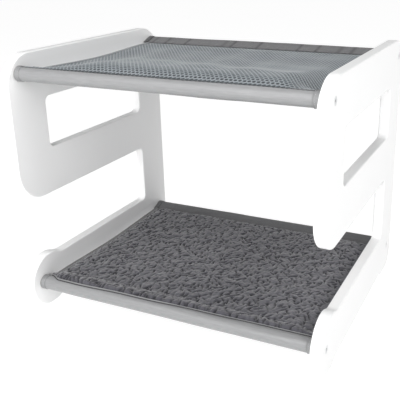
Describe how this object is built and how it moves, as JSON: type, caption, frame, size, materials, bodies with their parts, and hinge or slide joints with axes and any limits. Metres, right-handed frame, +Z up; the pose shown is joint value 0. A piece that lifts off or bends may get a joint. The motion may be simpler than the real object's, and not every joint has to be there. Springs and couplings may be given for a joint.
{
  "type": "cat hammock",
  "caption": "Free-standing pet hammock: cut-out board sides bolted to sleeved rods, with an open mesh sling above a plush sling.",
  "frame": {"origin": "centre of the footprint, on the floor", "axes": "+X across from the left panel to the right panel, +Y from the open front to the back columns, +Z up"},
  "size_m": [0.492, 0.405, 0.411],
  "materials": {
    "panel_lacquer": "satin white lacquer on board",
    "rod_wood": "bare hardwood dowel",
    "sleeve_satin": "tight woven grey fabric with a satin sheen",
    "mesh_fabric": "open spacer mesh",
    "edge_ribbon": "blue-grey woven ribbon",
    "binding_tape": "dark woven tape",
    "backing_cloth": "plain woven cloth",
    "plush_pile": "curly plush pile",
    "insert_brass": "turned",
    "bolt_steel": "zinc plated"
  },
  "bodies": {
    "root": {"left_panel": "panel_lacquer", "right_panel": "panel_lacquer", "top_front_rod": "rod_wood", "top_rear_rod": "rod_wood", "lower_front_rod": "rod_wood", "lower_rear_rod": "rod_wood", "top_front_sleeve": "sleeve_satin", "top_rear_sleeve": "sleeve_satin", "lower_front_sleeve": "sleeve_satin", "lower_rear_sleeve": "sleeve_satin", "top_mesh": "mesh_fabric", "top_left_binding": "edge_ribbon", "top_right_binding": "edge_ribbon", "lower_backing": "backing_cloth", "lower_plush": "plush_pile", "lower_left_binding": "binding_tape", "lower_right_binding": "binding_tape", "top_front_left_insert": "insert_brass", "top_front_right_insert": "insert_brass", "top_rear_left_insert": "insert_brass", "top_rear_right_insert": "insert_brass", "lower_front_left_insert": "insert_brass", "lower_front_right_insert": "insert_brass", "lower_rear_left_insert": "insert_brass", "lower_rear_right_insert": "insert_brass", "top_front_left_bolt": "bolt_steel", "top_front_right_bolt": "bolt_steel", "top_rear_left_bolt": "bolt_steel", "top_rear_right_bolt": "bolt_steel", "lower_front_left_bolt": "bolt_steel", "lower_front_right_bolt": "bolt_steel", "lower_rear_left_bolt": "bolt_steel", "lower_rear_right_bolt": "bolt_steel"}
  },
  "joints": []
}
